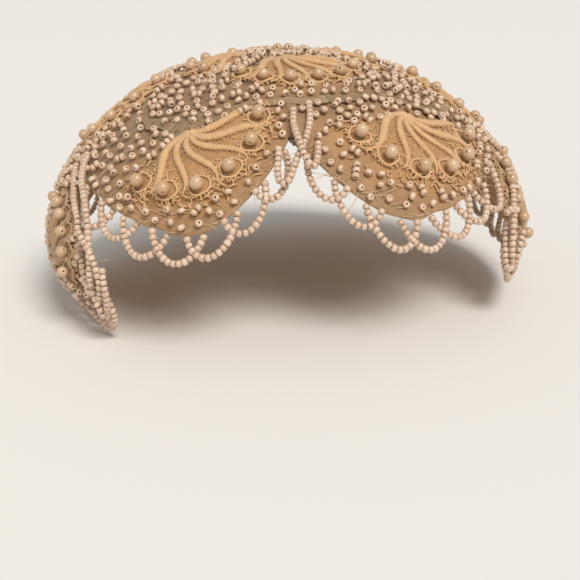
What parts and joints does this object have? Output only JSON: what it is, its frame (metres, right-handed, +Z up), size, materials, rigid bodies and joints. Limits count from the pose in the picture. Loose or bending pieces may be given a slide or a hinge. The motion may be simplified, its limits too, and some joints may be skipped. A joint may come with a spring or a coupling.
{
  "type": "beaded lace hat",
  "caption": "Close shell hat of cupped net petals with lace fans, sewn beads and pearls, and swags of strung beads along every petal edge.",
  "frame": {"origin": "the middle of the inside of the crown, where it sits on top of the head", "axes": "+Z up, the wearer's front towards -Y, +X to the viewer's right as the hat is seen from the front"},
  "size_m": [0.1949, 0.1874, 0.1006],
  "materials": {
    "crown_net": "taupe stiffened net and silk, matt",
    "petal_net": "peach tan silk net, soft sheen",
    "lace_cord": "peach satin-stitched lace cord",
    "pearl": "cream pearl coating, soft gloss",
    "bead_string": "opaque ivory glass beads, glossy",
    "thread": "fine tan sewing thread"
  },
  "bodies": {
    "root": {"back_fringe_left": "bead_string", "back_fringe_right": "bead_string", "back_lace_left": "lace_cord", "back_lace_right": "lace_cord", "back_petal_left": "petal_net", "back_petal_right": "petal_net", "crown_cap": "crown_net", "crown_lace_back": "lace_cord", "crown_lace_front": "lace_cord", "crown_lace_left": "lace_cord", "crown_lace_right": "lace_cord", "front_fringe_left": "bead_string", "front_fringe_right": "bead_string", "front_lace_left": "lace_cord", "front_lace_left_pearl_1": "pearl", "front_lace_left_pearl_2": "pearl", "front_lace_left_pearl_3": "pearl", "front_lace_left_pearl_4": "pearl", "front_lace_left_pearl_5": "pearl", "front_lace_left_pearl_6": "pearl", "front_lace_right": "lace_cord", "front_lace_right_pearl_1": "pearl", "front_lace_right_pearl_2": "pearl", "front_lace_right_pearl_3": "pearl", "front_lace_right_pearl_4": "pearl", "front_lace_right_pearl_5": "pearl", "front_lace_right_pearl_6": "pearl", "front_petal_left": "petal_net", "front_petal_right": "petal_net", "side_fringe_left": "bead_string", "side_fringe_right": "bead_string", "side_lower_lace_left": "lace_cord", "side_lower_lace_left_pearl_1": "pearl", "side_lower_lace_left_pearl_2": "pearl", "side_lower_lace_left_pearl_3": "pearl", "side_lower_lace_left_pearl_4": "pearl", "side_lower_lace_left_pearl_5": "pearl", "side_lower_lace_left_pearl_6": "pearl", "side_lower_lace_right": "lace_cord", "side_lower_lace_right_pearl_1": "pearl", "side_lower_lace_right_pearl_2": "pearl", "side_lower_lace_right_pearl_3": "pearl", "side_lower_lace_right_pearl_4": "pearl", "side_lower_lace_right_pearl_5": "pearl", "side_lower_lace_right_pearl_6": "pearl", "side_petal_left": "petal_net", "side_petal_right": "petal_net", "side_upper_lace_left": "lace_cord", "side_upper_lace_right": "lace_cord", "top_pearl_left": "pearl", "top_pearl_right": "pearl"}
  },
  "joints": []
}
